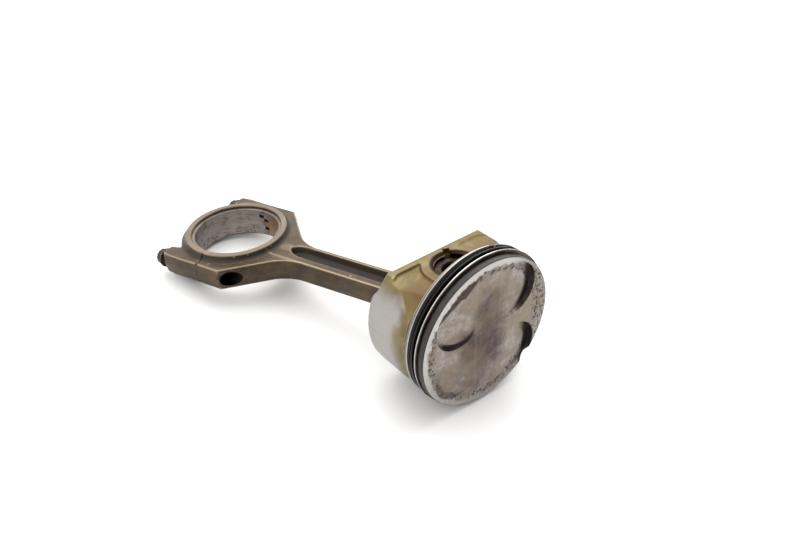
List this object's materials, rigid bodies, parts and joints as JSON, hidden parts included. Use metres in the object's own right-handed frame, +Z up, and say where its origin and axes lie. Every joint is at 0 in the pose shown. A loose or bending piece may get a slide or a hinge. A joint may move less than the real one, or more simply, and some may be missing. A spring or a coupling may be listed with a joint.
{
  "type": "connecting rod with piston",
  "caption": "Forged I-section connecting rod with bolted cap and split bearing, carrying a slipper-skirt piston with valve pockets and rings on a floating wrist pin.",
  "frame": {"origin": "on the surface that the part lies on, under the centre of its bounding box", "axes": "+X along the rod from the big end to the piston as seen from above, +Y to the left of it, +Z up; the rod leans 9.8 degrees upwards towards the piston, so the crankpin and wrist pin axes lean the same amount from +Z"},
  "size_m": [0.22, 0.096, 0.0881],
  "materials": {
    "forged_steel": "oil-stained forging, machined on the thrust faces",
    "bolt_steel": "black oxide, oily",
    "bearing_metal": "satin running surface, lightly scored",
    "bush_bronze": "satin, oil-darkened",
    "piston_alloy": "cast and turned, varnish and carbon stains",
    "pin_steel": "ground",
    "clip_steel": "dark spring steel",
    "ring_steel": "bright running face, dark sides",
    "ring_iron": "black phosphate"
  },
  "bodies": {
    "rod": {"rod_body": "forged_steel", "rod_cap": "forged_steel", "cap_bolt_near": "bolt_steel", "cap_bolt_far": "bolt_steel", "bearing_shell_upper": "bearing_metal", "bearing_shell_lower": "bearing_metal", "small_end_bush": "bush_bronze"},
    "piston": {"piston": "piston_alloy", "circlip_upper": "clip_steel", "circlip_lower": "clip_steel"},
    "wrist_pin": {"wrist_pin": "pin_steel"},
    "top_ring": {"top_compression_ring": "ring_steel"},
    "second_ring": {"second_compression_ring": "ring_iron"},
    "oil_upper_rail": {"oil_ring_upper_rail": "ring_steel"},
    "oil_expander": {"oil_ring_expander": "clip_steel"},
    "oil_lower_rail": {"oil_ring_lower_rail": "ring_steel"}
  },
  "joints": [
    {"name": "piston_swing", "type": "hinge", "parent": "rod", "child": "piston", "pos_m": [0.07013, 0.00081, 0.04076], "axis": [-0.171, -0.0075, 0.9853], "range_deg": [-27, 70]},
    {"name": "wrist_pin_turn", "type": "hinge", "parent": "piston", "child": "wrist_pin", "pos_m": [0.07013, 0.00081, 0.04076], "axis": [-0.171, -0.0075, 0.9853], "continuous": true},
    {"name": "top_ring_turn", "type": "hinge", "parent": "piston", "child": "top_ring", "pos_m": [0.08917, -0.00687, 0.04471], "axis": [0.9153, -0.3714, 0.156], "continuous": true},
    {"name": "second_ring_turn", "type": "hinge", "parent": "piston", "child": "second_ring", "pos_m": [0.08629, -0.00594, 0.04463], "axis": [0.9153, -0.3714, 0.156], "continuous": true},
    {"name": "oil_upper_rail_turn", "type": "hinge", "parent": "piston", "child": "oil_upper_rail", "pos_m": [0.08336, -0.00556, 0.04473], "axis": [0.9153, -0.3714, 0.156], "continuous": true},
    {"name": "oil_expander_turn", "type": "hinge", "parent": "piston", "child": "oil_expander", "pos_m": [0.08303, -0.00443, 0.04296], "axis": [0.9153, -0.3714, 0.156], "continuous": true},
    {"name": "oil_lower_rail_turn", "type": "hinge", "parent": "piston", "child": "oil_lower_rail", "pos_m": [0.08212, -0.0041, 0.04331], "axis": [0.9153, -0.3714, 0.156], "continuous": true}
  ]
}
